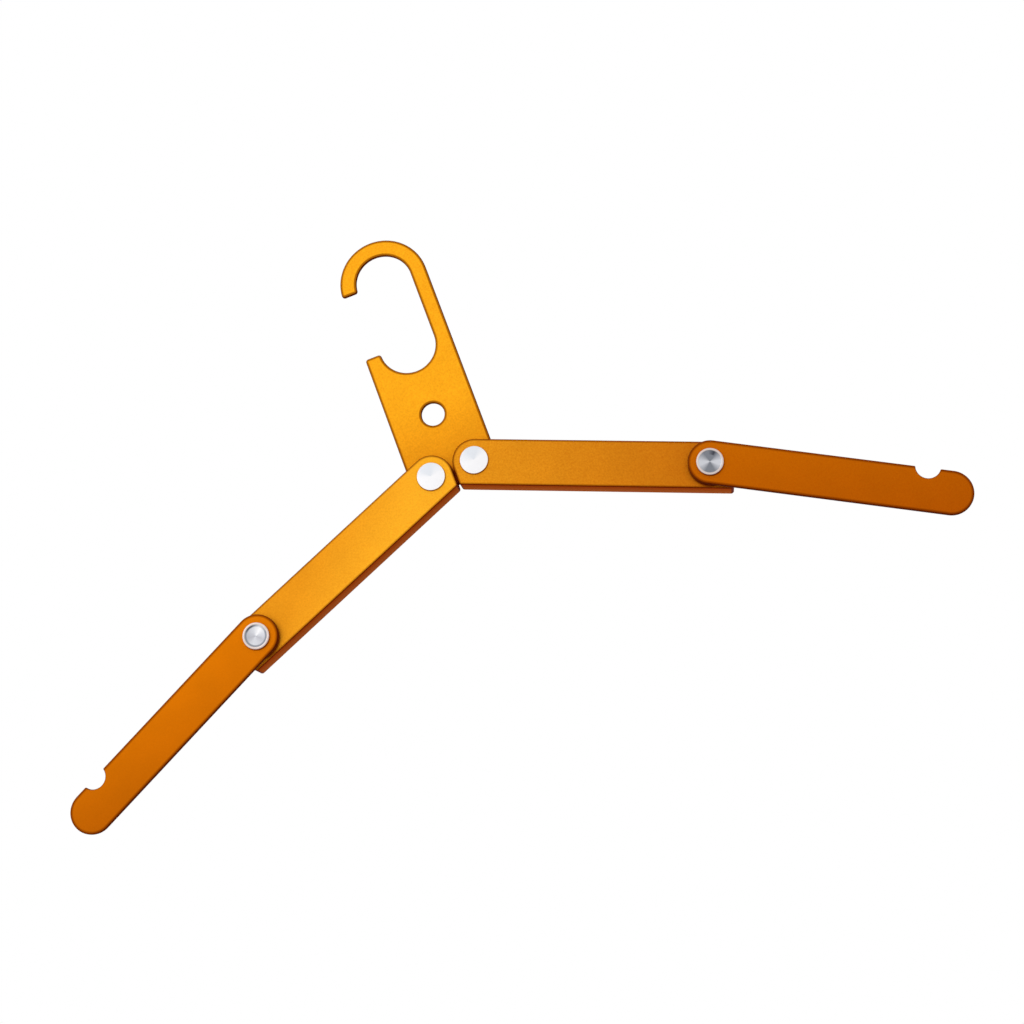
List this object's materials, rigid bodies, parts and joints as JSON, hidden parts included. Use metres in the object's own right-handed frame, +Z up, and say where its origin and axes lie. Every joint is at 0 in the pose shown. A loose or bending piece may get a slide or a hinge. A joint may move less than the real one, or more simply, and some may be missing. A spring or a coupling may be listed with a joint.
{
  "type": "folding travel hanger",
  "caption": "Folding travel clothes hanger: flat hook plate, channel arms hinged to it and flat outer arms with strap notches, on riveted friction hinges.",
  "frame": {"origin": "crown of the hook's inside, where the hanger bears on a rod, midway through the plate", "axes": "+X along the span to the right as seen from the front, +Y to the back, +Z up the hook; the hook's mouth is on the -X side and the outer arms are on the front, -Y"},
  "size_m": [0.4231, 0.0171, 0.2181],
  "materials": {
    "orange_anodised": "bead-blasted orange anodising, semi-matte, broken edges",
    "rivet_aluminium": "spun, bare",
    "nylon": "natural nylon",
    "washer_steel": "plain steel"
  },
  "bodies": {
    "hook": {"hook_plate": "orange_anodised", "left_front_spacer": "nylon", "left_back_spacer": "nylon", "right_front_spacer": "nylon", "right_back_spacer": "nylon"},
    "left_inner": {"left_inner_arm": "orange_anodised", "left_inner_rivet": "rivet_aluminium", "left_inner_rivet_cap": "rivet_aluminium", "left_outer_rivet": "rivet_aluminium", "left_outer_rivet_cap": "rivet_aluminium", "left_friction_washer": "nylon", "left_backing_washer": "washer_steel"},
    "right_inner": {"right_inner_arm": "orange_anodised", "right_inner_rivet": "rivet_aluminium", "right_inner_rivet_cap": "rivet_aluminium", "right_outer_rivet": "rivet_aluminium", "right_outer_rivet_cap": "rivet_aluminium", "right_friction_washer": "nylon", "right_backing_washer": "washer_steel"},
    "left_outer": {"left_outer_arm": "orange_anodised"},
    "right_outer": {"right_outer_arm": "orange_anodised"}
  },
  "joints": [
    {"name": "left_inner_hinge", "type": "hinge", "parent": "hook", "child": "left_inner", "pos_m": [-0.0104, 0, -0.10895], "axis": [0, 1, 0], "range_deg": [0, 112.4]},
    {"name": "left_outer_hinge", "type": "hinge", "parent": "left_inner", "child": "left_outer", "pos_m": [-0.10822, 0, -0.14927], "axis": [0, -1, 0], "range_deg": [-4.3, 175.7]},
    {"name": "right_inner_hinge", "type": "hinge", "parent": "hook", "child": "right_inner", "pos_m": [0.0104, 0, -0.10895], "axis": [0, -1, 0], "range_deg": [0, 112.4]},
    {"name": "right_outer_hinge", "type": "hinge", "parent": "right_inner", "child": "right_outer", "pos_m": [0.10822, 0, -0.14927], "axis": [0, 1, 0], "range_deg": [-6.7, 173.3]}
  ]
}
